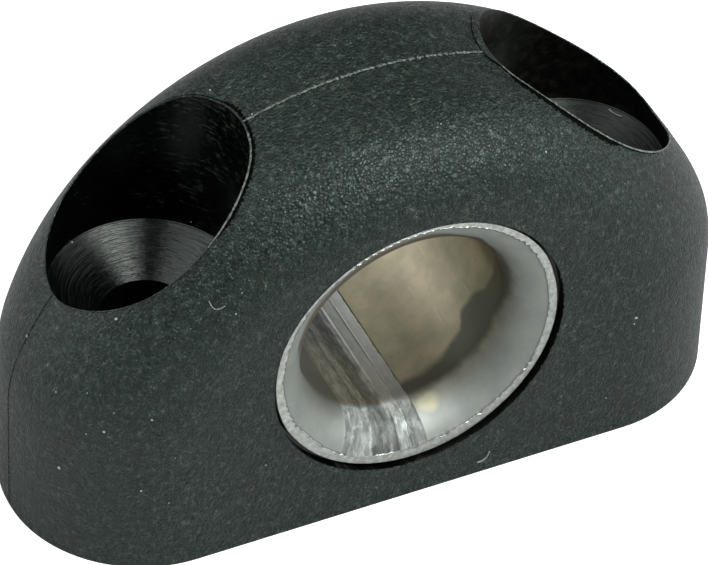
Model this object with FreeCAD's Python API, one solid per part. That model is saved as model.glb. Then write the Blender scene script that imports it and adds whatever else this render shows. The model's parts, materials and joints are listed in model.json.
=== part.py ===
import FreeCAD, Part
import math
import os

# Rope fairlead eye: an arch-shaped moulded body on a flat base, with a flared metal tube
# through it for the rope and a screw hole with a deep round recess on either side.
# Sizes are in millimetres. The origin is the middle of the base. +X runs along the length,
# the front face looks along -Y, and +Z is up.

# The tube that the rope runs through
ROPE_BORE = 13.0
SHEET = 0.5
FLARE_RADIUS = 3.0
FLARE_ANGLE = 70.0
RIM_LAND = 0.5

# How the tube sits in the body
TUBE_CLEARANCE = 0.08
RIM_GAP = 0.22
RIM_SINK = 0.28

# The two screws
SCREW_SHANK = 5.0
SHANK_CLEARANCE = 0.1
SCREW_HEAD = 9.9
HEAD_CLEARANCE = 0.8
DRILL_POINT_ANGLE = 118.0
RECESS_FLOOR = 14.2

# The moulded body: its walls round the tube and the screws
BODY_THICKNESS = 16.8
WALL_UNDER_EYE = 2.46
WALL_OVER_EYE = 5.24
WALL_BESIDE_TUBE = 0.67
WALL_AT_END = 2.8

# The outline seen from the front, and the rounding of its long edges
END_WALL_HEIGHT = 8.3
SHOULDER_EASE = 1.25
END_FLAT = 0.3
CREST_ROUNDING = 5.1

# Sizes that follow from the ones above
BORE_R = ROPE_BORE / 2
TUBE_R = BORE_R + SHEET
FLARE_RISE = FLARE_RADIUS * (1 - math.cos(math.radians(FLARE_ANGLE)))
FLARE_DEPTH = FLARE_RADIUS * math.sin(math.radians(FLARE_ANGLE))
RIM_R = BORE_R + FLARE_RISE + RIM_LAND
HOLE_R = TUBE_R + TUBE_CLEARANCE
POCKET_R = RIM_R + RIM_GAP

HALF_THICKNESS = BODY_THICKNESS / 2
RIM_Y = HALF_THICKNESS - RIM_SINK
FLARE_START = RIM_Y - FLARE_DEPTH

SCREW_HOLE_R = SCREW_SHANK / 2 + SHANK_CLEARANCE
RECESS_R = SCREW_HEAD / 2 + HEAD_CLEARANCE
RECESS_CONE = (RECESS_R - SCREW_HOLE_R) / math.tan(math.radians(DRILL_POINT_ANGLE / 2))
SCREW_X = HOLE_R + WALL_BESIDE_TUBE + RECESS_R

EYE_HEIGHT = WALL_UNDER_EYE + POCKET_R
BODY_HEIGHT = EYE_HEIGHT + POCKET_R + WALL_OVER_EYE
HALF_LENGTH = SCREW_X + RECESS_R + WALL_AT_END

END_ROUNDING = HALF_THICKNESS - END_FLAT / 2
SHOULDER_RADIUS = END_ROUNDING + SHOULDER_EASE
SHOULDER_X = HALF_LENGTH - SHOULDER_RADIUS
CROWN_RISE = BODY_HEIGHT - END_WALL_HEIGHT
CROWN_RADIUS = (SHOULDER_X ** 2 + CROWN_RISE ** 2 - SHOULDER_RADIUS ** 2) / (
    2 * (CROWN_RISE - SHOULDER_RADIUS))
CROWN_CENTRE = BODY_HEIGHT - CROWN_RADIUS
SHOULDER_ANGLE = math.atan2(END_WALL_HEIGHT - CROWN_CENTRE, SHOULDER_X)

TINY = 1e-4
FRONT = FreeCAD.Vector(0, -1, 0)


# Points on the outline

def outline_point(x, z):
    """A point of the outline, in the plane of the front face."""
    return FreeCAD.Vector(x, -HALF_THICKNESS, z)


def shoulder_point(angle):
    """A point on the right shoulder arc, at an angle up from +X."""
    x = SHOULDER_X + SHOULDER_RADIUS * math.cos(angle)
    z = END_WALL_HEIGHT + SHOULDER_RADIUS * math.sin(angle)
    return outline_point(x, z)


def crown_point(angle):
    """A point on the crown arc, at an angle up from +X."""
    x = CROWN_RADIUS * math.cos(angle)
    z = CROWN_CENTRE + CROWN_RADIUS * math.sin(angle)
    return outline_point(x, z)


def mirrored(point):
    """The same point on the left half."""
    return FreeCAD.Vector(-point.x, point.y, point.z)


def arc(start, middle, end):
    return Part.Arc(start, middle, end).toShape()


# Moulded body

def body_outline():
    """The face of the arch: flat base, upright ends, shoulder arcs and one crown arc."""
    foot = outline_point(HALF_LENGTH, 0)
    wall_top = shoulder_point(0)
    shoulder_middle = shoulder_point(SHOULDER_ANGLE / 2)
    shoulder_top = shoulder_point(SHOULDER_ANGLE)
    crown_middle = crown_point((SHOULDER_ANGLE + math.pi / 2) / 2)
    crest = crown_point(math.pi / 2)
    right = [
        Part.makeLine(foot, wall_top),
        arc(wall_top, shoulder_middle, shoulder_top),
        arc(shoulder_top, crown_middle, crest),
    ]
    left = [
        arc(crest, mirrored(crown_middle), mirrored(shoulder_top)),
        arc(mirrored(shoulder_top), mirrored(shoulder_middle), mirrored(wall_top)),
        Part.makeLine(mirrored(wall_top), mirrored(foot)),
    ]
    base = [Part.makeLine(mirrored(foot), foot)]
    return Part.Face(Part.Wire(right + left + base))


def rounding_at(point):
    """The edge rounding eases from nearly half the thickness on the ends to less at the crest."""
    if point.z < END_WALL_HEIGHT + TINY:
        return END_ROUNDING
    slope = math.atan2(point.z - CROWN_CENTRE, abs(point.x))
    share = slope / (math.pi / 2)
    ease = share * share * (3 - 2 * share)
    return END_ROUNDING + (CREST_ROUNDING - END_ROUNDING) * ease


def long_edge_roundings(block):
    """Edge number, start radius and end radius for the edges round both faces of the arch."""
    roundings = []
    for number, edge in enumerate(block.Edges, 1):
        middle = edge.CenterOfMass
        on_a_face = abs(abs(middle.y) - HALF_THICKNESS) < TINY
        above_base = middle.z > TINY
        if on_a_face and above_base:
            start = edge.valueAt(edge.FirstParameter)
            end = edge.valueAt(edge.LastParameter)
            roundings.append((number, rounding_at(start), rounding_at(end)))
    return roundings


def rounded_block():
    """The arch before any hole is made, with its varying edge rounding."""
    document = FreeCAD.newDocument("fairlead")
    block = document.addObject("Part::Feature", "block")
    block.Shape = body_outline().extrude(-FRONT * BODY_THICKNESS)
    rounded = document.addObject("Part::Fillet", "rounded")
    rounded.Base = block
    rounded.Edges = long_edge_roundings(block.Shape)
    document.recompute()
    return rounded.Shape.Solids[0]


def screw_opening(x):
    """A through hole, the cone that the drill point leaves, and the round recess above it."""
    through = Part.makeCylinder(SCREW_HOLE_R, BODY_HEIGHT, FreeCAD.Vector(x, 0, 0))
    cone_foot = FreeCAD.Vector(x, 0, RECESS_FLOOR - RECESS_CONE)
    cone = Part.makeCone(SCREW_HOLE_R, RECESS_R, RECESS_CONE, cone_foot)
    recess = Part.makeCylinder(RECESS_R, BODY_HEIGHT, FreeCAD.Vector(x, 0, RECESS_FLOOR))
    return through.fuse([cone, recess])


# Shapes turned about the axis of the eye

def turned_point(radius, y):
    """A point in the half plane above the eye's axis."""
    return FreeCAD.Vector(0, y, EYE_HEIGHT + radius)


def flare_point(radius, angle, side):
    """A point on a flare arc of the given radius; side is -1 at the front and +1 at the back."""
    y = FLARE_START + radius * math.sin(angle)
    r = BORE_R + FLARE_RADIUS - radius * math.cos(angle)
    return turned_point(r, side * y)


def flare_arc(radius, last_angle, side):
    """Arc from the straight tube out to the given angle, as a spline so that it turns light."""
    start = flare_point(radius, 0, side)
    middle = flare_point(radius, last_angle / 2, side)
    end = flare_point(radius, last_angle, side)
    return Part.Arc(start, middle, end).toBSpline().toShape()


def angle_at_radius(radius, reach):
    """Angle at which a flare arc gets out to this distance from the eye's axis."""
    cosine = (BORE_R + FLARE_RADIUS - reach) / radius
    return math.acos(max(-1.0, min(1.0, cosine)))


def turn(edges):
    """Solid of revolution about the eye's axis."""
    wire = Part.Wire(Part.__sortEdges__(edges))
    centre = FreeCAD.Vector(0, 0, EYE_HEIGHT)
    return Part.Face(wire).revolve(centre, FRONT, 360)


# Metal tube

def tube():
    """Thin tube, flared at both ends, with a flat rim and a short turned edge round it."""
    inner_end = math.radians(FLARE_ANGLE)
    outer_radius = FLARE_RADIUS - SHEET
    outer_end = angle_at_radius(outer_radius, RIM_R)
    edges = []
    for side in (-1, 1):
        lip = flare_point(FLARE_RADIUS, inner_end, side)
        corner = turned_point(RIM_R, side * RIM_Y)
        back = flare_point(outer_radius, outer_end, side)
        edges += [
            flare_arc(FLARE_RADIUS, inner_end, side),
            Part.makeLine(lip, corner),
            Part.makeLine(corner, back),
            flare_arc(outer_radius, outer_end, side),
        ]
    for radius in (FLARE_RADIUS, outer_radius):
        edges.append(Part.makeLine(flare_point(radius, 0, -1), flare_point(radius, 0, 1)))
    return turn(edges)


def tube_opening():
    """The hole for the tube: plain through the middle, with a rounded mouth and a rim pocket."""
    mouth_radius = FLARE_RADIUS - SHEET - TUBE_CLEARANCE
    mouth_end = angle_at_radius(mouth_radius, POCKET_R)
    past_face = HALF_THICKNESS + POCKET_R
    edges = []
    for side in (-1, 1):
        pocket_foot = flare_point(mouth_radius, mouth_end, side)
        pocket_edge = turned_point(POCKET_R, side * past_face)
        axis_end = turned_point(0, side * past_face)
        edges += [
            flare_arc(mouth_radius, mouth_end, side),
            Part.makeLine(pocket_foot, pocket_edge),
            Part.makeLine(pocket_edge, axis_end),
        ]
    edges.append(Part.makeLine(flare_point(mouth_radius, 0, -1), flare_point(mouth_radius, 0, 1)))
    edges.append(Part.makeLine(turned_point(0, -past_face), turned_point(0, past_face)))
    return turn(edges)


def body():
    """The rounded arch with its tube hole and its two screw openings."""
    openings = [tube_opening(), screw_opening(-SCREW_X), screw_opening(SCREW_X)]
    return rounded_block().cut(openings)


# Write one file per piece

def save(shape, name):
    shape.exportStep(os.path.join("parts", name + ".step"))


os.makedirs("parts", exist_ok=True)
save(body(), "body")
save(tube(), "tube")
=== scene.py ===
import json
import math
import random

import bpy
from mathutils import Matrix, Vector, noise
from mathutils.bvhtree import BVHTree


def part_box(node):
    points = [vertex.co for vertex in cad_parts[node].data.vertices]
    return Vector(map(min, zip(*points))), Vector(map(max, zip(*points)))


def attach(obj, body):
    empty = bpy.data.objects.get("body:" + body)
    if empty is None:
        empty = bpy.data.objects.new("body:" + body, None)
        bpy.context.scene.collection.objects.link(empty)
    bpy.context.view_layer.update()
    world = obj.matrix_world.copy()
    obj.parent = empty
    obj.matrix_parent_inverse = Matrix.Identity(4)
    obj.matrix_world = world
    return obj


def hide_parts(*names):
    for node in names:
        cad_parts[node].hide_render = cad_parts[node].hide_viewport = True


# Rope fairlead eye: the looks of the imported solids, in metres.
# The origin is the middle of the base. The front face looks along -Y and +Z is up.

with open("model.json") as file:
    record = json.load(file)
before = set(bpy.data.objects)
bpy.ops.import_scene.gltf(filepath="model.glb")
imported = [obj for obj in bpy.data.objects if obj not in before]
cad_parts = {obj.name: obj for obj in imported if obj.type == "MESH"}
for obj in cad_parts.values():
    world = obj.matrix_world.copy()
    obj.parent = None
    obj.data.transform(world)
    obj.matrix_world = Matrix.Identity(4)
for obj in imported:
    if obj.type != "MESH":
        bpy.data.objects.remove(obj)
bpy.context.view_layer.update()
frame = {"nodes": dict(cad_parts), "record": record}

MM = 0.001
TURN = 2 * math.pi

# Sizes of the solids
mounts = {mount["name"]: mount for mount in frame["record"]["mounts"]}
EYE_Z = mounts["rope_eye"]["pos_m"][2]
BORE_R = mounts["rope_eye"]["dims"]["r_mm"] * MM
SCREW_X = mounts["screws"]["dims"]["spacing_x_mm"] * MM / 2
RECESS_R = 5.75 * MM
FACE_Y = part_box("body")[1].y
TUBE_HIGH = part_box("tube")[1]
RIM_R = TUBE_HIGH.x
RIM_Y = TUBE_HIGH.y
RIM_GAP = 0.22 * MM
POCKET_R = RIM_R + RIM_GAP
RECESS_LOW_EDGE = 15.5 * MM

# Lengths that serve as far outside the part, and as next to nothing
OUTSIDE = 100 * MM
SLIVER = 0.01 * MM

# The tube's sheet and flares
SHEET = 0.5 * MM
FLARE_RADIUS = 3.0 * MM
FLARE_ANGLE = math.radians(70)
FLARE_START = RIM_Y - FLARE_RADIUS * math.sin(FLARE_ANGLE)
FLARE_MIDDLE_R = BORE_R + FLARE_RADIUS
LIP_R = BORE_R + FLARE_RADIUS * (1 - math.cos(FLARE_ANGLE))

# The mould's grain: the number of pebbles in a metre, and the direction in which they are longer
PEBBLES_PER_METRE = 5200.0
PEBBLE_DIRECTION = (0.51, 0.0, 0.86)

# The weld seam's edges, in degrees from straight down
SEAM_LEFT = -34.0
SEAM_RIGHT = 6.2

# Depths in the tube that white stands for in the ramps of the painted dark reflection and of the painted
# contour line
DARK_REFLECTION_REACH = 6.0 * MM
CONTOUR_LINE_REACH = 10.0 * MM

# The photograph's camera
PICTURE = (708, 565)
AZIMUTH = math.radians(-26.73)
ELEVATION = math.radians(43.08)
ROLL = math.radians(2.495)
DISTANCE = 0.3505
TARGET = Vector((-0.000225, 0, 0.009654))
FOCAL_PIXELS = 6011.6
SENSOR = 36.0


# Camera

def camera_axes():
    """Right, up and backward directions of the camera."""
    level = math.cos(ELEVATION)
    back = Vector((math.sin(AZIMUTH) * level, -math.cos(AZIMUTH) * level, math.sin(ELEVATION)))
    right = Vector((0, 0, 1)).cross(back).normalized()
    up = back.cross(right)
    rolled_right = math.cos(ROLL) * right + math.sin(ROLL) * up
    rolled_up = math.cos(ROLL) * up - math.sin(ROLL) * right
    return rolled_right, rolled_up, back


def make_camera():
    """The camera that took the photograph, as fitted to its curves."""
    right, up, back = camera_axes()
    data = bpy.data.cameras.new("camera")
    data.sensor_width = SENSOR
    data.lens = FOCAL_PIXELS / PICTURE[0] * SENSOR
    data.clip_start = 0.01
    data.clip_end = 20
    camera = bpy.data.objects.new("camera", data)
    bpy.context.scene.collection.objects.link(camera)
    turn = Matrix((right, up, back)).transposed().to_4x4()
    camera.matrix_world = Matrix.Translation(TARGET + back * DISTANCE) @ turn
    bpy.context.scene.camera = camera


# Shader nodes

class Value:
    """What a shader node gives out at each point. It takes part in sums like a number."""

    def __init__(self, tree, output):
        self.tree = tree
        self.output = output

    def math(self, operation, other=0.0):
        """The result of an operation of the math node on this and another value or number."""
        node = add(self.tree, "ShaderNodeMath", {0: self, 1: other}, operation=operation)
        return Value(self.tree, node.outputs[0])

    def __add__(self, other):
        return self.math("ADD", other)

    def __sub__(self, other):
        return self.math("SUBTRACT", other)

    def __rsub__(self, other):
        return self * -1.0 + other

    def __mul__(self, other):
        return self.math("MULTIPLY", other)

    def __mod__(self, other):
        return self.math("MODULO", other)

    def __abs__(self):
        return self.math("ABSOLUTE")


def connect(node, inputs):
    """Set each named input of a node to a number or colour, or join it to a Value."""
    for name, value in inputs.items():
        if isinstance(value, Value):
            value.tree.links.new(value.output, node.inputs[name])
        else:
            node.inputs[name].default_value = value


def add(tree, kind, inputs=None, **settings):
    """A new node with its settings and its inputs."""
    node = tree.nodes.new(kind)
    for name, value in settings.items():
        setattr(node, name, value)
    connect(node, inputs or {})
    return node


def larger(first, second):
    return first.math("MAXIMUM", second)


def length(across, along):
    """The length of the vector with these two parts."""
    return (across * across + along * along).math("SQRT")


def step(value, low, high, to_low=0.0, to_high=1.0):
    """A smooth step from one value to another between two places."""
    node = add(value.tree, "ShaderNodeMapRange",
               {"Value": value, "From Min": low, "From Max": high, "To Min": to_low, "To Max": to_high},
               interpolation_type="SMOOTHSTEP")
    return Value(value.tree, node.outputs["Result"])


def blend(factor, first, second):
    """A mix of two colours."""
    node = add(factor.tree, "ShaderNodeMix", {0: factor, 6: first, 7: second}, data_type="RGBA")
    return Value(factor.tree, node.outputs[2])


def ramp(factor, stops, blending="LINEAR"):
    """A colour ramp from (place, colour) pairs."""
    node = add(factor.tree, "ShaderNodeValToRGB", {"Fac": factor})
    node.color_ramp.interpolation = blending
    elements = node.color_ramp.elements
    while len(elements) < len(stops):
        elements.new(0.5)
    for element, (place, colour) in zip(elements, stops):
        element.position = place
        element.color = colour
    return Value(factor.tree, node.outputs["Color"])


def along_scale(value, low, high, stops):
    """A colour ramp over a stretch of values, with its stops given in the value's own unit."""
    node = add(value.tree, "ShaderNodeMapRange", {"Value": value, "From Min": low, "From Max": high})
    share = Value(value.tree, node.outputs["Result"])
    return ramp(share, [((at - low) / (high - low), colour) for at, colour in stops], "EASE")


def grey(level):
    return (level, level, level, 1)


def cloud(point, scale, detail=2.0, roughness=0.5):
    """Fractal noise between 0 and 1, with this many waves per metre."""
    node = add(point.tree, "ShaderNodeTexNoise",
               {"Vector": point, "Scale": scale, "Detail": detail, "Roughness": roughness})
    return Value(point.tree, node.outputs["Fac"])


def cells(point, scale, smoothness):
    """Distance to the middle of the nearest of many round cells."""
    node = add(point.tree, "ShaderNodeTexVoronoi",
               {"Vector": point, "Scale": scale, "Smoothness": smoothness}, feature="SMOOTH_F1")
    return Value(point.tree, node.outputs["Distance"])


def cell_edges(point, scale):
    """Distance to the nearest border between cells."""
    node = add(point.tree, "ShaderNodeTexVoronoi", {"Vector": point, "Scale": scale},
               feature="DISTANCE_TO_EDGE")
    return Value(point.tree, node.outputs["Distance"])


def swayed(point, scale, reach):
    """The point pushed about by noise, by up to the reach in metres along each axis."""
    noise_node = add(point.tree, "ShaderNodeTexNoise", {"Vector": point, "Scale": scale, "Detail": 2.0})
    push = Value(point.tree, noise_node.outputs["Color"])
    node = add(point.tree, "ShaderNodeVectorMath", {0: push, 1: (reach, reach, reach), 2: point},
               operation="MULTIPLY_ADD")
    return Value(point.tree, node.outputs[0])


def shortened(point, direction, amount):
    """The point drawn in along a direction, so that a pattern on it is longer that way."""
    tree = point.tree
    dot = add(tree, "ShaderNodeVectorMath", {0: point, 1: direction}, operation="DOT_PRODUCT")
    along = Value(tree, dot.outputs["Value"])
    scaled = add(tree, "ShaderNodeVectorMath", {0: direction, "Scale": along}, operation="SCALE")
    shift = Value(tree, scaled.outputs[0])
    node = add(tree, "ShaderNodeVectorMath", {0: shift, 1: (-amount,) * 3, 2: point},
               operation="MULTIPLY_ADD")
    return Value(tree, node.outputs[0])


def tinted(colour, factor):
    """A colour made lighter or darker by a factor."""
    node = add(colour.tree, "ShaderNodeVectorMath", {0: colour, "Scale": factor}, operation="SCALE")
    return Value(colour.tree, node.outputs[0])


def parts(point):
    """The x, y and z of a point."""
    node = add(point.tree, "ShaderNodeSeparateXYZ", {0: point})
    return [Value(point.tree, output) for output in node.outputs]


def vector(x, y, z):
    """A point made of its parts. The first is a Value."""
    node = add(x.tree, "ShaderNodeCombineXYZ", {0: x, 1: y, 2: z})
    return Value(x.tree, node.outputs[0])


def attribute(tree, name):
    """A number that the mesh holds at each of its points."""
    node = add(tree, "ShaderNodeAttribute", attribute_name=name)
    return Value(tree, node.outputs["Fac"])


def bump(height, distance):
    """The normal of a surface with this height over it, where 1 stands for the distance in metres."""
    node = add(height.tree, "ShaderNodeBump", {"Height": height, "Distance": distance})
    return Value(height.tree, node.outputs["Normal"])


def new_material(name):
    """A material, its shader, and the point on the object in metres."""
    material = bpy.data.materials.new(name)
    material.use_nodes = True
    tree = material.node_tree
    point = Value(tree, add(tree, "ShaderNodeTexCoord").outputs["Object"])
    return material, tree.nodes["Principled BSDF"], point


# Moulding materials

def moulding():
    """Black plastic with the mould's leather grain: pebbles with broken creases between them, with painted
    shade darkening the creases in the base colour.
    """
    material, shader, point = new_material("moulding")
    stretched = shortened(point, PEBBLE_DIRECTION, 0.3)
    moved = swayed(stretched, 2600.0, 0.25 * MM)
    pebbles = 1.0 - cells(moved, PEBBLES_PER_METRE, 0.1)
    borders = step(cell_edges(moved, PEBBLES_PER_METRE), 0.02, 0.18)
    broken = step(cloud(point, 2300.0, 1.0), 0.28, 0.50, 1.0, 0.0)
    tops = larger(borders, broken)
    off_level = abs(cloud(moved, 3000.0, 1.0) - 0.5)
    squiggles = step(off_level, 0.02, 0.09, 1.0, 0.0) * step(cloud(point, 1500.0, 1.0), 0.38, 0.60)
    fine = cloud(point, 9000.0)
    grain = tops * 0.42 + squiggles * 0.22 + fine * 0.15 + pebbles * 0.46

    tone = cloud(point, 2600.0, 4.0, 0.70)
    colour = ramp(tone, [
        (0.38, (0.0018, 0.0062, 0.0049, 1)),
        (0.50, (0.0068, 0.0142, 0.0115, 1)),
        (0.63, (0.0320, 0.0370, 0.0285, 1))])
    flecks = step(cloud(point, 4200.0, 1.0), 0.63, 0.74, 0.0, 3.5)
    # Low in the creases and high on the pebbles' tops: in the base colour this is painted shade in the
    # creases; it also sets the roughness.
    fine_tone_and_crease_shade = fine * 0.9 + tops * 0.75 - 0.1
    connect(shader, {
        "Base Color": tinted(colour, flecks * tone + squiggles * 1.2 + fine_tone_and_crease_shade - 0.24),
        "Roughness": step(fine_tone_and_crease_shade, 0.3, 1.3, 0.42, 0.31),
        "Normal": bump(grain, 0.10 * MM),
        "Specular IOR Level": 0.52,
        "Specular Tint": (0.80, 1.0, 0.95, 1)})
    return material


def drilled():
    """The same plastic where a tool has cut it: black and glossy, with turning marks round it, and painted
    light on the left recess's wall nearest the eye.
    """
    material, shader, point = new_material("moulding_drilled")
    x, y, z = parts(point)
    side = abs(x) - SCREW_X
    reach = length(side, y)
    angle = y.math("ARCTAN2", side)
    on_floor = step(reach, RECESS_R - 0.10 * MM, RECESS_R - 0.03 * MM, 1.0, 0.0)
    on_right = step(x, -MM, MM)
    rings = cloud(vector(angle * 0.0003, 0.0, reach), 7000.0, 3.0, 0.6)
    dashes = cloud(vector(angle * 0.0024, z, 0.0), 4000.0, 3.0, 0.6)
    marks = rings * on_floor + dashes * (1.0 - on_floor)

    cone = ramp(rings, [
        (0.32, (0.0008, 0.0014, 0.0010, 1)),
        (0.52, (0.0022, 0.0035, 0.0026, 1)),
        (0.66, (0.0075, 0.0098, 0.0080, 1))])
    right_wall = ramp(cloud(point, 1500.0, 4.0, 0.6), [
        (0.38, (0.0008, 0.0010, 0.0007, 1)),
        (0.52, (0.0034, 0.0038, 0.0027, 1)),
        (0.66, (0.0100, 0.0102, 0.0074, 1))])
    # Painted light: the left recess's wall is painted lighter nearest the eye and darker elsewhere.
    painted_light_to_eye = step(side, -4.5 * MM, -0.5 * MM, 0.03, -0.09)
    left_wall = ramp(cloud(point, 700.0, 3.0) * 0.5 + dashes + painted_light_to_eye, [
        (0.72, (0.0006, 0.0012, 0.0008, 1)),
        (0.86, (0.0025, 0.0042, 0.0028, 1)),
        (0.96, (0.0260, 0.0300, 0.0260, 1))])
    wall = blend(on_right, left_wall, right_wall)
    connect(shader, {
        "Base Color": blend(on_floor, wall, cone),
        "Roughness": on_right * 0.15 + step(marks, 0.35, 0.70, 0.13, 0.24),
        "Normal": bump(marks * step(on_floor, 0.0, 1.0, 0.4, 1.0), 0.05 * MM),
        "Specular IOR Level": 0.47,
        "Specular Tint": (0.90, 1.0, 0.94, 1)})
    return material


def burr(name, low, high, gloss):
    """Thin plastic left along an edge, painted paler or darker than the moulding: paler as a painted
    highlight, darker as painted shade and shadow.
    """
    material, shader, point = new_material(name)
    tone = cloud(point, 5000.0, 3.0)
    connect(shader, {
        "Base Color": blend(step(tone, 0.35, 0.65), low, high),
        "Roughness": 0.5,
        "Normal": bump(tone, 0.03 * MM),
        "Specular IOR Level": gloss})
    return material


def dust(name, low, high):
    """Pale dust or lint."""
    material, shader, point = new_material(name)
    connect(shader, {"Base Color": blend(cloud(point, 8000.0), low, high), "Roughness": 0.9})
    return material


# Tube materials. An angle round the tube is in degrees: 0 straight down, positive towards +X.
# A depth is the distance from the middle of the tube along its axis.

def painted_dark_reflection(degrees, depth, on_front):
    """The painted dark reflection round the throat: how far down the bore it reaches, by the angle round.
    """
    reach = along_scale(degrees, -80.0, 130.0, [
        (7, grey(0.76)), (30, grey(0.745)), (48, grey(0.64)), (57, grey(0.50)), (66, grey(0.50)),
        (79, grey(0.64)), (94, grey(0.74)), (108, grey(0.82)), (122, grey(0.90)), (129, grey(0.97))])
    limit = reach * DARK_REFLECTION_REACH + step(on_front, 0.0, 1.0, 1.6 * MM, 0.0)
    right = step(depth - limit, -0.30 * MM, 0.35 * MM) * step(degrees, 5.5, 7.0)
    shade = step(degrees, 45.0, 75.0, 0.0, 0.35) * step(depth, 1.8 * MM, 4.5 * MM)
    beside_seam = step(degrees, -66.0, -50.0) * step(degrees, -36.0, -31.0, 1.0, 0.0)
    left = step(depth, 2.2 * MM, 4.2 * MM, 0.0, 0.38) * beside_seam
    spill = step(degrees, 70.0, 105.0, 0.0, 0.9 * MM)
    in_throat = step(depth - spill, 5.4 * MM, 6.2 * MM, 1.0, 0.0)
    return larger(right, larger(shade, left) * on_front) * in_throat


def painted_contour_line(degrees, depth):
    """Painted brown over the top of the bore, whose edge shows as a thin line in the throat: a painted
    dark reflection along the bore's contour.
    """
    turned = (degrees + 360.0) % 360.0
    inner = along_scale(turned, 100.0, 300.0, [
        (115, grey(0.535)), (130, grey(0.613)), (150, grey(0.694)), (180, grey(0.747)), (206, grey(0.757)),
        (230, grey(0.749)), (250, grey(0.722)), (270, grey(0.66)), (290, grey(0.56))])
    past = depth - inner * CONTOUR_LINE_REACH
    on_top = step(abs(degrees), 85.0, 110.0)
    return step(past, 0.38 * MM, 0.62 * MM, 1.0, 0.0) * on_top


def sheet_colour(mottle, degrees, depth, in_bore):
    """The sheet: grey on the flares, tan in the bore, and duller left of the seam."""
    flare = blend(step(mottle, 0.3, 0.7), (0.330, 0.358, 0.335, 1), (0.380, 0.408, 0.380, 1))
    tan = ramp(mottle, [
        (0.32, (0.40, 0.380, 0.270, 1)),
        (0.52, (0.48, 0.445, 0.315, 1)),
        (0.70, (0.58, 0.505, 0.350, 1))])
    bore = blend(step(degrees, -36.0, -28.0), (0.32, 0.335, 0.31, 1), tan)
    return blend(in_bore * 0.55 + step(depth, 5.7 * MM, 7.4 * MM, 0.45, 0.0), flare, bore)


def painted_warm_highlight(degrees, depth):
    """A painted warm highlight: a pale yellow oval on the flare, just right of the seam."""
    across = (degrees - 14.0) * (1 / 7.5)
    along = (depth - 6.5 * MM) * (1 / (0.62 * MM))
    return step(length(across, along), 0.45, 1.1, 0.95, 0.0)


# How light the weld seam's strips are, by the angle round the tube
BORE_STRIPS = [(-35, 0.50), (-28, 0.60), (-24, 0.50), (-22.5, 0.34), (-21, 0.58), (-17.5, 0.54),
               (-16.5, 0.33), (-10.6, 0.35), (-9.4, 0.56), (-7.2, 0.62), (-6.6, 0.74), (-1, 0.72),
               (-0.3, 0.50), (0.4, 0.60), (5.8, 0.56), (6.5, 0.19)]
FLARE_STRIPS = [(-38, 0.30), (-35, 0.31), (-31.5, 0.22), (-30, 0.38), (-27, 0.30), (-21.5, 0.34),
                (-19.5, 0.38), (-18.5, 0.18), (-11, 0.18), (-9.5, 0.29), (-6.6, 0.21),
                (-5.6, 0.36), (-1.2, 0.36), (-0.7, 0.50), (-0.4, 0.17), (0.5, 0.26),
                (5.8, 0.26), (6.4, 0.16)]


def strips(degrees, lightness, hue):
    """Strips that run along the tube, each with its lightness, in one hue."""
    stops = [(at, (level * hue[0], level * hue[1], level * hue[2], 1)) for at, level in lightness]
    return along_scale(degrees, -45.0, 10.0, stops)


def seam_tone(degrees, depth):
    """The weld seam's strips, in the bore and on the flare."""
    bore = strips(degrees, BORE_STRIPS, (1.0, 1.04, 0.98))
    flare = strips(degrees, FLARE_STRIPS, (1.0, 1.08, 1.03))
    return blend(step(depth, 5.6 * MM, 6.8 * MM), bore, flare)


def crinkle(across, y, degrees, on_flare):
    """How light the seam's metal is: pitted in the bore, crumpled where the flare stretched it, with the
    crumples' bright facets painted in as glints.
    """
    crooked = swayed(vector(across, y * 0.30, 0.0), 900.0, 0.6 * MM)
    pits = step(cloud(crooked, 3600.0, 4.0, 0.7), 0.36, 0.64, 0.72, 1.22)
    beside_smooth_strip = step(abs(degrees + 0.4), 6.0, 7.4, 0.3, 1.0)
    pitted = (pits - 1.0) * larger(beside_smooth_strip, on_flare) + 1.0
    crumpled = swayed(vector(across, y * 0.75, 0.0), 1500.0, 0.4 * MM)
    folds = step(cloud(crumpled, 1300.0, 1.0), 0.50, 0.53, -0.10, 0.10)
    painted_glint_facets = step(cloud(crumpled, 2900.0, 1.5), 0.57, 0.61, 0.0, 0.32)
    return (painted_glint_facets + folds) * on_flare + pitted


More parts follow.
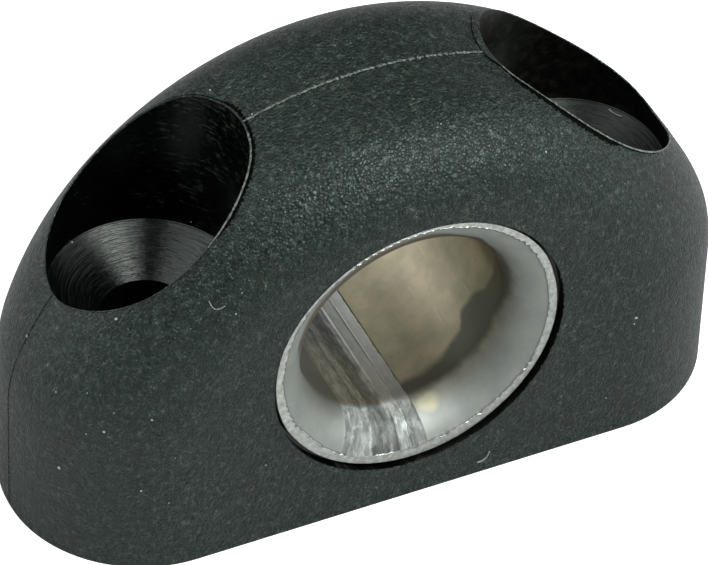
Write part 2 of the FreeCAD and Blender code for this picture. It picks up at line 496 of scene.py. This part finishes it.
def steel():
    """Satin sheet: faint marks along the bore, tan in the bore, a seam, and painted light: a dark
    reflection round the throat, a dark line along the bore's contour, a warm highlight on the flare and a
    shadow under the rim's lip.
    """
    material, shader, point = new_material("tube_steel")
    x, y, z = parts(point)
    mottle = cloud(point, 700.0, 4.0, 0.6)
    uneven = mottle - 0.5
    angle = x.math("ARCTAN2", EYE_Z - z) * (360 / TURN)
    degrees = uneven * 5.0 + angle
    depth = uneven * (0.8 * MM) + abs(y)
    across = angle * (BORE_R * TURN / 360)
    in_bore = step(depth, 5.0 * MM, 6.2 * MM, 1.0, 0.0)
    on_flare = step(depth, 5.6 * MM, 6.2 * MM)
    on_front = step(y, -0.5 * MM, 0.5 * MM, 1.0, 0.0)

    sheet = sheet_colour(mottle, angle, depth, in_bore)
    with_warm_highlight = blend(painted_warm_highlight(degrees, depth), sheet, (0.60, 0.59, 0.43, 1))
    drawn = cloud(vector(across, y * 0.06, 0.0), 4200.0, 3.0, 0.6)
    streaks = step(drawn, 0.62, 0.74, 0.0, 0.22) * in_bore
    # The flare's row at the lip is darkened by 60%: a painted shadow under the land's ragged edge.
    marked = tinted(with_warm_highlight, attribute(point.tree, "painted_shadow") * -0.60 + streaks + 1.0)
    # Painted dark reflection round the throat, in the base colour.
    with_dark_reflection = blend(painted_dark_reflection(degrees, depth, on_front), marked, (0.165, 0.170, 0.135, 1))
    # Painted dark line along the bore's contour, in the base colour.
    with_contour_line = blend(painted_contour_line(angle, abs(y)) * 0.85, with_dark_reflection, (0.12, 0.095, 0.062, 1))

    seam = attribute(point.tree, "seam")
    crinkled = crinkle(across, y, degrees, on_flare)
    welded = tinted(seam_tone(degrees, depth), crinkled)
    seam_roughness = seam * step(on_flare, 0.0, 1.0, -0.08, 0.12)
    connect(shader, {
        "Base Color": blend(seam, with_contour_line, welded),
        "Roughness": seam_roughness + step(in_bore, 0.0, 1.0, 0.59, 0.48),
        "Normal": bump(crinkled * seam + mottle * 0.5, 0.01 * MM),
        "Metallic": 1.0})
    return material


def cut_rim():
    """The flat cut end of the tube, brighter than the sheet and finely scratched."""
    material, shader, point = new_material("tube_steel_cut")
    tone = cloud(point, 2600.0, 4.0, 0.65)
    connect(shader, {
        "Base Color": blend(step(tone, 0.30, 0.70), (0.44, 0.47, 0.445, 1), (0.72, 0.75, 0.71, 1)),
        "Roughness": 0.42,
        "Normal": bump(cloud(point, 7000.0, 3.0), 0.01 * MM),
        "Metallic": 1.0})
    return material


# Meshes

def wobble(x, y=0.0, z=0.0):
    """Smooth noise between about -1 and 1."""
    return noise.noise(Vector((x, y, z)))


def blend_step(value, low, high):
    """0 below low, 1 above high, smooth between."""
    share = max(0.0, min(1.0, (value - low) / (high - low)))
    return share * share * (3 - 2 * share)


def window(value, low, high, edge):
    """1 between low and high, falling to 0 over an edge outside them."""
    return blend_step(value, low - edge, low) * (1 - blend_step(value, high, high + edge))


def new_object(name, points, faces, materials):
    """A smoothly shaded mesh with its materials."""
    mesh = bpy.data.meshes.new(name)
    mesh.from_pydata(points, [], faces)
    mesh.update()
    for material in materials:
        mesh.materials.append(material)
    mesh.shade_smooth()
    made = bpy.data.objects.new(name, mesh)
    bpy.context.scene.collection.objects.link(made)
    return made


def grid_faces(rows, columns, close_rows=False, close_columns=False):
    """Quads between the points of a grid stored row by row."""
    faces = []
    for row in range(rows if close_rows else rows - 1):
        below = (row + 1) % rows
        for column in range(columns if close_columns else columns - 1):
            beside = (column + 1) % columns
            faces.append((row * columns + column, row * columns + beside,
                          below * columns + beside, below * columns + column))
    return faces


def around(count):
    """Angles in degrees all the way round, from -180."""
    return [index * 360.0 / count - 180.0 for index in range(count)]


# The body's surface, for what sits on it

def surface(node):
    """The mesh of a node, ready for rays to be cast at it."""
    mesh = frame["nodes"][node].data
    points = [vertex.co for vertex in mesh.vertices]
    polygons = [tuple(polygon.vertices) for polygon in mesh.polygons]
    return BVHTree.FromPolygons(points, polygons)


skin = surface("body")


def from_above(x, y):
    """Point and normal where the body is met from above."""
    return skin.ray_cast(Vector((x, y, OUTSIDE)), Vector((0, 0, -1)))[:2]


def from_face(side, x, z):
    """Point and normal where the body is met from the front, side -1, or the back, side +1."""
    return skin.ray_cast(Vector((x, side * OUTSIDE, z)), Vector((0, -side, 0)))[:2]


def under_pixel(column, row):
    """Point and normal where the body lies behind a place in the photograph."""
    right, up, back = camera_axes()
    start = TARGET + back * DISTANCE
    across = (column - PICTURE[0] / 2) / FOCAL_PIXELS
    down = (row - PICTURE[1] / 2) / FOCAL_PIXELS
    return skin.ray_cast(start, right * across - up * down - back)[:2]


def in_surface(direction, normal):
    """The way a direction points within the surface that has this normal."""
    return (direction - normal * normal.dot(direction)).normalized()


def screw_distance(point):
    """Distance from the nearer screw's axis."""
    return math.hypot(abs(point.x) - SCREW_X, point.y)


# Body: grain outside, cut surfaces in the recesses and the tube's hole

def dress_body():
    body = frame["nodes"]["body"]
    body.data.materials.clear()
    for material in (MOULDING, DRILLED):
        body.data.materials.append(material)
    for polygon in body.data.polygons:
        centre = polygon.center
        in_recess = screw_distance(centre) < RECESS_R and centre.z > SLIVER
        reach = math.hypot(centre.x, centre.z - EYE_Z)
        in_eye = reach < POCKET_R and abs(centre.y) < FACE_Y - SLIVER
        polygon.material_index = 1 if in_recess or in_eye else 0


# Tube

# How wide the cut land of the rim is, in millimetres, by the angle from straight down
LAND_WIDTHS = [(-180, 0.20), (-120, 0.24), (-92, 0.42), (-70, 0.55), (-55, 0.69), (-35, 0.58),
               (-25, 0.58), (-3, 0.78), (5, 0.78), (28, 0.75), (63, 0.61), (90, 0.61),
               (134, 0.39), (157, 0.31), (180, 0.20)]


def land_width(degrees):
    """The land's width at an angle in metres, eased between the places above."""
    for (low, width), (high, next_width) in zip(LAND_WIDTHS, LAND_WIDTHS[1:]):
        if degrees <= high:
            break
    share = blend_step(degrees, low, high)
    return (width + (next_width - width) * share) * MM


def land_teeth(degrees):
    """How far the land's ragged inner edge reaches past its width, in metres."""
    peaks = 1 - 3.2 * abs(wobble(degrees * 0.30, 5.0))
    return (0.075 * peaks + 0.030 * wobble(degrees * 0.9, 2.0)) * MM


def land_burr(degrees):
    """How far the metal pushed in along the land's inner edge stands up, in metres."""
    return max(0.0, 0.025 + 0.035 * wobble(degrees * 0.75, 5.0) + 0.02 * wobble(degrees * 1.9, 8.0)) * MM


def rim_shortfall(degrees):
    """How far the rim's outer edge stays inside its full radius, low down and on the right."""
    return (0.05 * window(degrees, -55, 105, 12) + 0.05 * window(degrees, 35, 105, 20)) * MM


def seam_profile(degrees, y):
    """Height of the weld seam over the bore, in millimetres, at an angle from straight down."""
    smooth_strip = window(degrees, -6.6, 6.2, 0.5)
    groove = window(degrees, -0.7, 0.1, 0.4)
    pitted = window(degrees, -16.5, -10.0, 1.2)
    ripples = window(degrees, -31.0, -17.5, 2.0)
    rough = wobble(degrees * 0.55, y * 900, 3.0) + 0.6 * wobble(degrees * 1.3, y * 2300, 7.0)
    streaks = wobble(degrees * 0.42, y * 160, 11.0)
    folds = 1 - 2.5 * abs(wobble(degrees * 0.22, y * 1500, 15.0))
    flared = blend_step(abs(y), 5.6 * MM, 6.4 * MM) * window(degrees, -33.0, 7.0, 2.0)
    return (0.040 * smooth_strip - 0.015 * groove + pitted * (0.008 * rough - 0.02)
            + ripples * (0.012 + 0.012 * streaks + 0.004 * rough) + flared * 0.009 * folds)


def flare_inside(side, count=26):
    """Rows over the inside of a flare, from its lip in to the bore."""
    rows = []
    for index in range(count + 1):
        angle = FLARE_ANGLE * (1 - index / count)
        radius = FLARE_MIDDLE_R - FLARE_RADIUS * math.cos(angle)
        y = side * (FLARE_START + FLARE_RADIUS * math.sin(angle))
        rows.append((radius, y, (-math.cos(angle), side * math.sin(angle)), False))
    return rows


def flare_outside(count=9):
    """Radius and y of places on the outside of the back flare, from its rim in to the tube."""
    places = []
    outer_radius = FLARE_RADIUS - SHEET
    last = math.acos((FLARE_MIDDLE_R - RIM_R) / outer_radius)
    for index in range(count + 1):
        angle = last * (1 - index / count)
        radius = FLARE_MIDDLE_R - outer_radius * math.cos(angle)
        places.append((radius, FLARE_START + outer_radius * math.sin(angle)))
    return places


# Where the rows of the cut rim lie: a share of the way out from its lip, and how far in from its plane
RIM_ROWS = [(0.05, 0.0), (0.16, 0.0), (0.80, 0.0), (0.94, 0.005 * MM), (1.0, 0.035 * MM)]


def tube_rows(bore_rows=44):
    """The closed section of the tube: (radius, y, normal out of the metal, cut) for each row."""
    bore = [(BORE_R, FLARE_START * (2 * index / bore_rows - 1), (-1.0, 0.0), False)
            for index in range(1, bore_rows)]
    rim = [(LIP_R + (RIM_R - LIP_R) * share, RIM_Y - back) for share, back in RIM_ROWS]
    outside = flare_outside()
    return (flare_inside(-1) + bore + flare_inside(1)[::-1]
            + [(radius, y, (0.0, 1.0), True) for radius, y in rim]
            + [(radius, y, (1.0, 0.0), False) for radius, y in outside]
            + [(radius, -y, (1.0, 0.0), False) for radius, y in outside[::-1]]
            + [(radius, -y, (0.0, -1.0), True) for radius, y in rim[::-1]])


def tube_point(row, degrees):
    """A point of the tube, with the seam and the uneven land of the rim worked in."""
    radius, y, (out_r, out_y), cut = row
    even_lip = RIM_R - land_width(degrees)
    lip = even_lip - land_teeth(degrees)
    outer = RIM_R - rim_shortfall(degrees)
    if cut:
        share = (radius - LIP_R) / (RIM_R - LIP_R)
        radius = lip + (outer - lip) * share
        if 0 < share < 0.1:
            y += out_y * land_burr(degrees)
    elif out_r < 0:
        share = (radius - BORE_R) / (LIP_R - BORE_R)
        radius = BORE_R + (even_lip - BORE_R) * share + (lip - even_lip) * blend_step(share, 0.88, 1.0)
        lift = seam_profile(degrees, y) * MM
        radius += out_r * lift
        y += out_y * lift
    else:
        share = (radius - BORE_R - SHEET) / (RIM_R - BORE_R - SHEET)
        radius -= (RIM_R - outer) * share
    angle = math.radians(degrees)
    return (radius * math.sin(angle), y, EYE_Z - radius * math.cos(angle))


# Points in each row of the tube, few enough to keep its mesh under 200,000 triangles
TUBE_COLUMNS = 780


def make_tube():
    """The flared tube, which tells its material where the weld seam is and where the painted shadow under
    the rim's lip goes.
    """
    rows = tube_rows()
    angles = around(TUBE_COLUMNS)
    points, seam, painted_shadow = [], [], []
    for row in rows:
        radius, _, (out_r, _), cut = row
        at_lip = not cut and abs(radius - LIP_R) < SLIVER
        for degrees in angles:
            points.append(tube_point(row, degrees))
            seam.append(window(degrees, SEAM_LEFT, SEAM_RIGHT, 0.7) if out_r < 0 else 0.0)
            painted_shadow.append(1.0 if at_lip else 0.0)
    faces = grid_faces(len(rows), len(angles), close_rows=True, close_columns=True)
    made = new_object("tube_flared", points, faces, [STEEL, CUT_RIM])
    for name, values in (("seam", seam), ("painted_shadow", painted_shadow)):
        layer = made.data.attributes.new(name, "FLOAT", "POINT")
        layer.data.foreach_set("value", values)
    for polygon in made.data.polygons:
        row = polygon.index // len(angles)
        following = (row + 1) % len(rows)
        if rows[row][3] or rows[following][3]:
            polygon.material_index = 1
    made.data.set_sharp_from_angle(angle=math.radians(12))
    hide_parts("tube")
    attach(made, "root")


# Strips that lie along an edge of the body

# Degrees between the stations of the split line
SPLIT_STEP = 0.12


def strip(name, stations, materials, closed=False, dark=()):
    """A solid strip: each station is a list of points round its section.

    The sides of the section whose numbers are in dark have the second material.
    """
    columns = len(stations[0])
    points = [point for station in stations for point in station]
    faces = grid_faces(len(stations), columns, close_rows=closed, close_columns=True)
    sides = len(faces)
    if not closed:
        faces.append(tuple(range(columns)))
        faces.append(tuple(range(len(points) - columns, len(points)))[::-1])
    made = new_object(name, points, faces, materials)
    for polygon in made.data.polygons[:sides]:
        if polygon.index % columns in dark:
            polygon.material_index = 1
    made.data.set_sharp_from_angle(angle=math.radians(50))
    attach(made, "root")
    return made


def section_points(point, across, normal, outline):
    """Points of a section given in millimetres across and above the surface."""
    return [point + across * (a * MM) + normal * (n * MM) for a, n in outline]


def split_section(degrees, size, gaps):
    """The split line's section at an angle: a thin shadow beside a bead that comes and goes."""
    beads = 1.5 * wobble(degrees * 2.3, 4.0) + 1.5 * wobble(degrees * 4.7, 8.0)
    height = size * (0.7 - gaps + beads)
    width = size * max(0.3, 1.8 + 1.2 * beads)
    drift = 0.04 * wobble(degrees * 0.6, 16.0) + 0.03 * wobble(degrees * 3.1, 20.0)
    shade = drift - width - size * (0.9 + 0.8 * wobble(degrees * 3.7, 24.0))
    return [(shade, -0.02), (shade, 0.004), (drift - width, 0.005),
            (drift - width * 0.5, height * 0.8), (drift, height),
            (drift + width * 0.5, height * 0.7), (drift + width, -0.02)]


def split_stations(first, last, size, gaps):
    """Stations of the mould's split line, at angles up from +X round the middle of the base."""
    stations = []
    count = int((last - first) / SPLIT_STEP)
    for index in range(count + 1):
        degrees = first + (last - first) * index / count
        angle = math.radians(degrees)
        away = Vector((math.cos(angle), 0, math.sin(angle)))
        point, normal = skin.ray_cast(away * OUTSIDE, -away)[:2]
        if point is None or screw_distance(point) < RECESS_R + 0.02 * MM:
            continue
        section = split_section(degrees, size, gaps)
        stations.append(section_points(point, Vector((0, 1, 0)), normal, section))
    return stations


def make_split_line():
    """The fine ridge where the two halves of the mould met, between and beside the recesses."""
    past_edge = math.degrees(math.atan2(RECESS_LOW_EDGE, SCREW_X + RECESS_R)) + 6
    right = split_stations(0.3, past_edge, 0.020, -0.3)
    crest = split_stations(71, 109, 0.055, 0.10)
    left = split_stations(180 - past_edge, 179.7, 0.020, -0.3)
    # The crest's bead is pale as a painted highlight, the ends' beads are dark as painted shade, and each
    # has a painted shadow beside it.
    strip("split_line_right", right, [PAINTED_RIDGE_SHADE, PAINTED_SHADOW_BLACK], dark=(0, 1))
    strip("split_line_crest", crest, [PAINTED_HIGHLIGHT_BURR, PAINTED_SHADOW_BLACK], dark=(0, 1))
    strip("split_line_left", left, [PAINTED_RIDGE_SHADE, PAINTED_SHADOW_BLACK], dark=(0, 1))


def curl_amount(side, degrees):
    """Where the recess's edge has a burr that curls outward."""
    if side < 0:
        return window(degrees, -62, 12, 14) + 0.3 * window(degrees, 60, 100, 10)
    return window(degrees, -165, -60, 14)


def painted_shadow_width(side, degrees):
    """How wide the painted shadow behind that burr is, in millimetres."""
    if side < 0:
        return 0.17 * window(degrees, -62, 12, 14) + 0.07 * window(degrees, 12, 70, 14)
    return 0.24 * window(degrees, -152, -96, 8)


def bulge_amount(side, degrees):
    """Where the drill pushed up a thick rounded lip."""
    return window(degrees % 360, 142, 182, 14) if side > 0 else 0.0


def painted_highlight_edge(side, degrees):
    """Whether the recess's edge is painted pale there as a painted highlight, rather than the colour of
    the moulding.
    """
    return -78 < degrees < -10 if side < 0 else -166 < degrees < 8


def burr_section(side, degrees):
    """A recess's edge in section: the lip that the drill raised, and a flat strip behind it that carries
    the painted shadow under the lip.
    """
    rough = wobble(degrees * 0.35, side, 3.0) + 0.5 * wobble(degrees * 1.1, side, 9.0)
    teeth = wobble(degrees * 0.8, side, 21.0) + 0.9 * wobble(degrees * 2.3, side, 27.0)
    curl = curl_amount(side, degrees) * max(0.0, 0.85 + 0.5 * rough)
    bulge = bulge_amount(side, degrees)
    rise = 0.022 + 0.014 * rough + 0.075 * curl + 0.05 * bulge
    lip = 0.050 + 0.020 * rough + 0.065 * curl + 0.40 * bulge
    painted_shadow = lip + 0.015 + painted_shadow_width(side, degrees) * max(0.15, 1.0 + 0.9 * teeth)
    return [(-0.02, -0.06), (-0.022, rise * 0.5), (0.0, rise), (lip, rise + 0.02 * curl),
            (lip, rise - 0.02), (lip * 0.9, 0.016), (painted_shadow, 0.016), (painted_shadow, -0.02), (0.02, -0.06)]


def recess_edge(name, side):
    """The thin rim of plastic that the drill left, with a painted shadow line behind it."""
    stations = []
    angles = around(720)
    for degrees in angles:
        angle = math.radians(degrees)
        away = Vector((math.cos(angle), math.sin(angle), 0))
        reach = RECESS_R + SLIVER
        point, normal = from_above(side * SCREW_X + away.x * reach, away.y * reach)
        section = burr_section(side, degrees)
        stations.append(section_points(point, in_surface(away, normal), normal, section))
    made = strip(name, stations, [PAINTED_HIGHLIGHT_BURR, PAINTED_SHADOW_BLACK, MOULDING], closed=True, dark=(4, 5, 6))
    columns = len(stations[0])
    for polygon in made.data.polygons:
        degrees = angles[polygon.index // columns]
        if polygon.material_index == 0 and not painted_highlight_edge(side, degrees):
            polygon.material_index = 2


def crumb_section(side, degrees):
    """The pocket's edge in section, with crumbs that lean in over the tube's rim."""
    rough = wobble(degrees * 0.5, side, 33.0) + 0.7 * wobble(degrees * 1.6, side, 39.0)
    crumbs = window(degrees, 18, 118, 16) * max(0.0, 0.4 + rough)
    rise = 0.010 + 0.006 * rough + 0.03 * crumbs
    inward = 0.012 + 0.006 * rough + 0.10 * crumbs
    return [(-0.005, -0.08), (-inward, -0.02), (-inward, rise * 0.4), (0.01, rise),
            (0.04 + 0.04 * crumbs, rise * 0.5), (0.07 + 0.05 * crumbs, -0.01), (0.02, -0.08)]


def eye_edge(name, side):
    """Crumbs of plastic round the pocket that the tube's rim sits in, most of them low on the right."""
    stations = []
    for degrees in around(900):
        angle = math.radians(degrees)
        away = Vector((math.sin(angle), 0, -math.cos(angle)))
        reach = POCKET_R + 0.005 * MM
        point, normal = from_face(side, away.x * reach, EYE_Z + away.z * reach)
        section = crumb_section(side, degrees)
        stations.append(section_points(point, in_surface(away, normal), normal, section))
    strip(name, stations, [MOULDING], closed=True)


# Dust and lint

def speck(column, row, size, seed):
    """A small uneven grain on the body behind a place in the photograph."""
    point, normal = under_pixel(column, row)
    rings, columns = 6, 9
    shift = random.Random(seed).random() * 50
    across = normal.orthogonal().normalized()
    beside = normal.cross(across)
    points = []
    for ring in range(rings):
        tilt = math.pi * (ring + 0.5) / rings
        for index in range(columns):
            turn = TURN * index / columns
            away = (across * math.cos(turn) + beside * math.sin(turn)) * math.sin(tilt)
            away = away + normal * (0.5 * math.cos(tilt))
            reach = size * MM * (1.1 + 0.6 * wobble(away.x * 1.9 + shift, away.y * 1.9, away.z * 1.9))
            points.append(point + away * reach)
    faces = grid_faces(rings, columns, close_columns=True)
    faces.append(tuple(range(columns))[::-1])
    faces.append(tuple(range(len(points) - columns, len(points))))
    return points, faces


# Column and row in the photograph, and radius in millimetres
SPECKS = [
    (116, 319, 0.08), (59, 468, 0.10), (27, 336, 0.07), (72, 242, 0.06), (191, 222, 0.05),
    (210, 90, 0.06), (546, 152, 0.06), (636, 318, 0.09), (634, 324, 0.05),
    (441, 124, 0.04), (505, 165, 0.04), (236, 314, 0.045), (242, 293, 0.035), (252, 114, 0.05),
    (104, 432, 0.07), (152, 420, 0.06), (114, 413, 0.04), (141, 491, 0.06), (169, 503, 0.04),
    (175, 458, 0.035), (266, 465, 0.045), (606, 398, 0.04), (56, 392, 0.05), (87, 393, 0.04),
    (86, 434, 0.045), (19, 377, 0.035), (59, 488, 0.035), (625, 184, 0.03), (663, 165, 0.03)]


def make_dust():
    points, faces = [], []
    for index, (column, row, size) in enumerate(SPECKS):
        more_points, more_faces = speck(column, row, size, index)
        faces += [tuple(corner + len(points) for corner in face) for face in more_faces]
        points += more_points
    made = new_object("dust_specks", points, faces, [DUST])
    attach(made, "root")


# Start and end in the photograph, how far the middle bends out, and radius in millimetres
FIBRES = {
    "fibre_curl": ((209, 301), (225, 306), 0.35, 0.03),
    "fibre_short": ((477, 462), (489, 451), 0.15, 0.05),
    "fibre_recess": ((609, 110), (622, 117), 0.05, 0.05)}


def make_fibre(name, start, end, bend, radius):
    """A hair of lint lying on the body between two places in the photograph."""
    steps = 14
    curve = bpy.data.curves.new(name, "CURVE")
    curve.dimensions = "3D"
    curve.bevel_depth = radius * MM
    curve.bevel_resolution = 2
    curve.use_fill_caps = True
    spline = curve.splines.new("POLY")
    spline.points.add(steps)
    for index in range(steps + 1):
        share = index / steps
        bow = bend * math.sin(math.pi * share)
        column = start[0] + (end[0] - start[0]) * share - (end[1] - start[1]) * bow
        row = start[1] + (end[1] - start[1]) * share + (end[0] - start[0]) * bow
        point, normal = under_pixel(column, row)
        spline.points[index].co = (*(point + normal * (radius * 0.7 * MM)), 1)
    curve.materials.append(LINT)
    made = bpy.data.objects.new(name, curve)
    bpy.context.scene.collection.objects.link(made)
    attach(made, "root")


# Stage

def rays_to_backdrop(tree):
    """Whether a ray comes from the camera, and whether it comes off gloss or through glass."""
    kinds = add(tree, "ShaderNodeLightPath").outputs
    from_camera = Value(tree, kinds["Is Camera Ray"])
    mirrored = larger(Value(tree, kinds["Is Glossy Ray"]), Value(tree, kinds["Is Transmission Ray"]))
    return from_camera, mirrored


def make_floor():
    """A plain pale floor that the camera sees as white, apart from the object's shadow."""
    material, shader = new_material("floor")[:2]
    connect(shader, {"Base Color": grey(0.62), "Roughness": 0.9, "Specular IOR Level": 0.0})
    tree = material.node_tree
    from_camera, mirrored = rays_to_backdrop(tree)
    strength = larger(from_camera * 0.88, mirrored * 0.03)
    glow = add(tree, "ShaderNodeEmission", {"Color": grey(1.0), "Strength": strength})
    both = add(tree, "ShaderNodeAddShader", {
        0: Value(tree, shader.outputs[0]), 1: Value(tree, glow.outputs[0])})
    connect(tree.nodes["Material Output"], {"Surface": Value(tree, both.outputs[0])})
    bpy.ops.mesh.primitive_circle_add(vertices=96, radius=1.5, fill_type="NGON",
                                      location=(0, 0, -0.02 * MM))
    floor = bpy.context.object
    floor.name = "floor"
    floor.data.materials.append(material)


def make_world():
    """A white backdrop, bright in gloss only high on the front right. A little even light."""
    world = bpy.data.worlds.new("world")
    bpy.context.scene.world = world
    world.use_nodes = True
    tree = world.node_tree
    tree.nodes.clear()
    from_camera, mirrored = rays_to_backdrop(tree)
    x, y, z = parts(Value(tree, add(tree, "ShaderNodeTexCoord").outputs["Generated"]))
    on_right = step(x * 0.98 + y * -0.17, -0.05, 0.12)
    ahead = step(x * -0.42 + y * -0.91, -0.12, 0.10)
    high_in_front = step(z, 0.20, 0.60) * on_right * ahead
    shown = mirrored * step(high_in_front, 0.0, 1.0, 0.12, 1.0)
    strength = larger(larger(from_camera, shown), 0.03)
    light = add(tree, "ShaderNodeBackground", {"Color": grey(1.0), "Strength": strength})
    add(tree, "ShaderNodeOutputWorld", {"Surface": Value(tree, light.outputs[0])})


LAMP_SIZE = 0.36
LAMP_DISTANCE = 0.6

# Azimuth and elevation in degrees, and power in watts. Azimuth 0 is in front and 90 to the right.
LAMPS = {
    "front_high": (30, 46, 2.20), "front": (26, 28, 0.14), "right_high": (88, 30, 0.75),
    "right": (60, 12, 0.45), "top": (30, 62, 1.10), "back": (180, 60, 0.38),
    "left_top": (-96, 58, 0.65), "left_high": (-115, 38, 0.50), "left": (-100, 15, 0.65),
    "left_back": (-140, 15, 0.50)}


def make_lamp(name, azimuth, elevation, power):
    """A soft square lamp aimed at the object."""
    data = bpy.data.lights.new(name, "AREA")
    data.shape = "SQUARE"
    data.size = LAMP_SIZE
    data.energy = power
    lamp = bpy.data.objects.new(name, data)
    bpy.context.scene.collection.objects.link(lamp)
    a, e = math.radians(azimuth), math.radians(elevation)
    away = Vector((math.sin(a) * math.cos(e), -math.cos(a) * math.cos(e), math.sin(e)))
    lamp.location = TARGET + away * LAMP_DISTANCE
    lamp.rotation_mode = "QUATERNION"
    lamp.rotation_quaternion = away.to_track_quat("Z", "Y")


# Build

bpy.context.scene.view_settings.view_transform = "Standard"

MOULDING = moulding()
DRILLED = drilled()
# Pale burr colour: a painted highlight on the lit edges of the recesses and on the split line's crest
# bead.
PAINTED_HIGHLIGHT_BURR = burr("moulding_burr_painted_highlight", (0.055, 0.068, 0.061, 1), (0.210, 0.235, 0.215, 1), 0.28)
# Dark and nearly without gloss: painted shade on the split line's beads at the two ends.
PAINTED_RIDGE_SHADE = burr("moulding_painted_ridge_shade", (0.004, 0.006, 0.005, 1), (0.012, 0.017, 0.014, 1), 0.10)
# Near-black with next to no gloss: painted shadow under the recesses' burrs and beside the split line's
# beads.
PAINTED_SHADOW_BLACK = burr("moulding_painted_shadow", (0.0010, 0.0014, 0.0010, 1), (0.0030, 0.0040, 0.0030, 1), 0.02)
DUST = dust("dust", (0.25, 0.27, 0.25, 1), (0.62, 0.65, 0.62, 1))
LINT = dust("lint", (0.14, 0.16, 0.15, 1), (0.42, 0.45, 0.42, 1))
STEEL = steel()
CUT_RIM = cut_rim()

make_camera()
dress_body()
make_tube()
make_split_line()
recess_edge("recess_edge_left", -1)
recess_edge("recess_edge_right", 1)
eye_edge("eye_edge_front", -1)
eye_edge("eye_edge_back", 1)
make_dust()
for name, (start, end, bend, radius) in FIBRES.items():
    make_fibre(name, start, end, bend, radius)

make_floor()
make_world()
for name, (azimuth, elevation, power) in LAMPS.items():
    make_lamp(name, azimuth, elevation, power)
